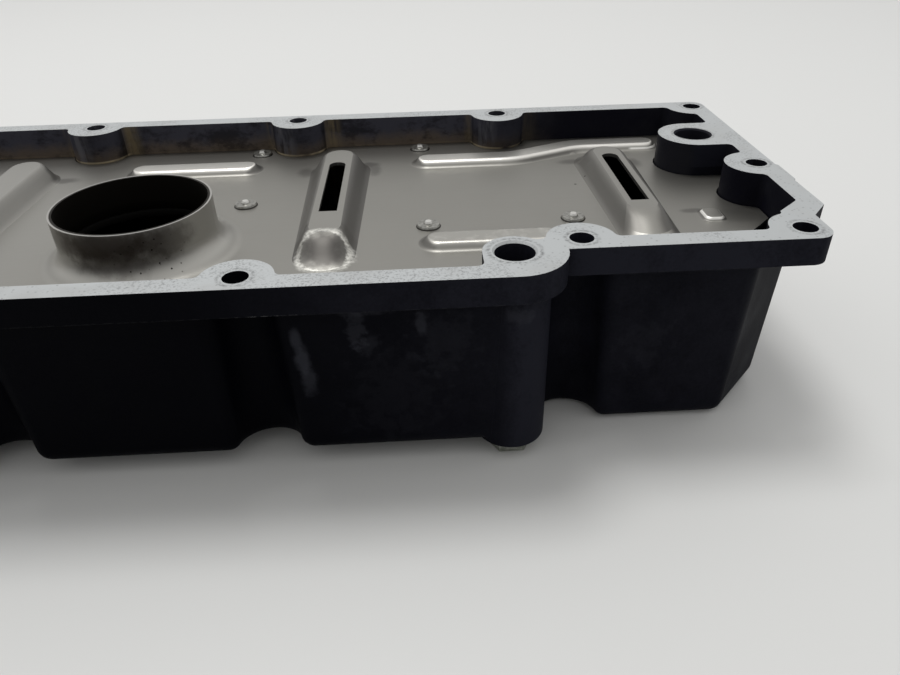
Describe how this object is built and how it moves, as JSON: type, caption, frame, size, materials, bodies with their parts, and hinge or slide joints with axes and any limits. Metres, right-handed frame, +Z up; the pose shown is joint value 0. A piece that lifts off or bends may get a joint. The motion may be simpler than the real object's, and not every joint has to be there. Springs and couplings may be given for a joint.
{
  "type": "engine oil pan",
  "caption": "Cast engine oil pan with scalloped walls, a machined gasket flange and a riveted sheet baffle with slotted hoods and a drawn collar.",
  "frame": {"origin": "centre of the rectangle round the pan, on the plane that it stands on", "axes": "+X along the pan towards the end seen in the picture, +Y towards the straight far side, +Z up out of the pan's mouth"},
  "size_m": [0.4132, 0.143, 0.0695],
  "materials": {
    "black_casting": "satin black coating on cast aluminium, gasket face and bores machined bare",
    "baffle_sheet": "satin rolled sheet, burnished on the pressed forms",
    "rivet_steel": "plain",
    "plug_steel": "dull zinc",
    "copper_washer": "dull copper"
  },
  "bodies": {
    "root": {"pan_casting": "black_casting", "baffle_plate": "baffle_sheet", "baffle_rivets": "rivet_steel", "passage_plugs": "plug_steel", "drain_plug": "plug_steel", "drain_washer": "copper_washer"}
  },
  "joints": []
}
